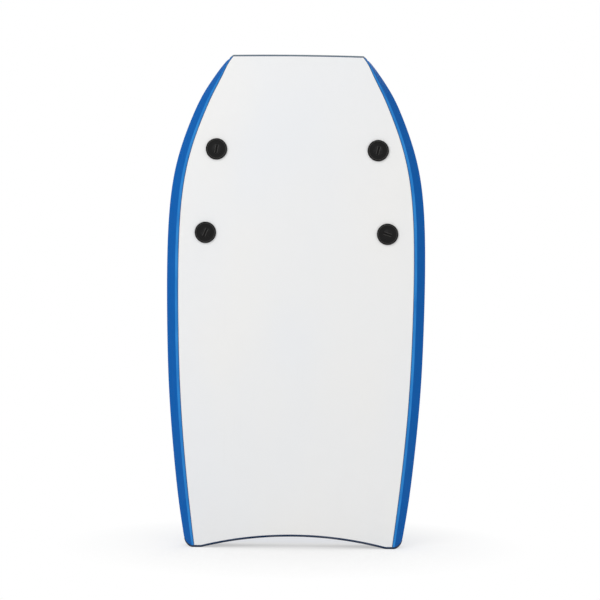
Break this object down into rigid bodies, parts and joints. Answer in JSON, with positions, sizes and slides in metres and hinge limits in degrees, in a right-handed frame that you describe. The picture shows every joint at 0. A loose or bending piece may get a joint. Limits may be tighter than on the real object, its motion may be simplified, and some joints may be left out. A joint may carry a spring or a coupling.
{
  "type": "bodyboard",
  "caption": "Foam bodyboard with a white slick underside, blue rails, a crescent tail and two padded strap handles clamped by slotted screw plugs",
  "frame": {"origin": "bottom centre of the whole board's bounding box, with the board standing on its two tail tips", "axes": "+Z from tail to nose, +X to the right as seen from the slick underside, +Y from the slick underside to the deck"},
  "size_m": [0.5474, 0.0996, 1.04],
  "materials": {
    "slick_sheet": "satin",
    "core_foam": "matte",
    "deck_foam": "matte",
    "rail_foam": "matte",
    "strip_foam": "matte",
    "webbing": "matte",
    "grip_foam": "matte",
    "plug_plastic": "satin"
  },
  "bodies": {
    "board": {"slick_bottom": "slick_sheet", "foam_core": "core_foam", "deck_skin": "deck_foam", "left_rail": "rail_foam", "right_rail": "rail_foam", "nose_strip": "strip_foam", "tail_strip": "strip_foam", "left_front_slotted_plug": "plug_plastic", "left_front_deck_plug": "plug_plastic", "left_rear_slotted_plug": "plug_plastic", "left_rear_deck_plug": "plug_plastic", "right_front_slotted_plug": "plug_plastic", "right_front_deck_plug": "plug_plastic", "right_rear_slotted_plug": "plug_plastic", "right_rear_deck_plug": "plug_plastic"},
    "left_handle": {"left_strap": "webbing", "left_grip": "grip_foam"},
    "right_handle": {"right_strap": "webbing", "right_grip": "grip_foam"}
  },
  "joints": [
    {"name": "left_handle_lean", "type": "hinge", "parent": "board", "child": "left_handle", "pos_m": [-0.18084, 0.00775, 0.75], "axis": [0.1219, 0, 0.9925], "range_deg": [-35, 35], "stiffness_Nm_per_rad": 0.08, "deforming": ["left_strap"]},
    {"name": "right_handle_lean", "type": "hinge", "parent": "board", "child": "right_handle", "pos_m": [0.18084, 0.00775, 0.75], "axis": [-0.1219, 0, 0.9925], "range_deg": [-35, 35], "stiffness_Nm_per_rad": 0.08, "deforming": ["right_strap"]}
  ]
}
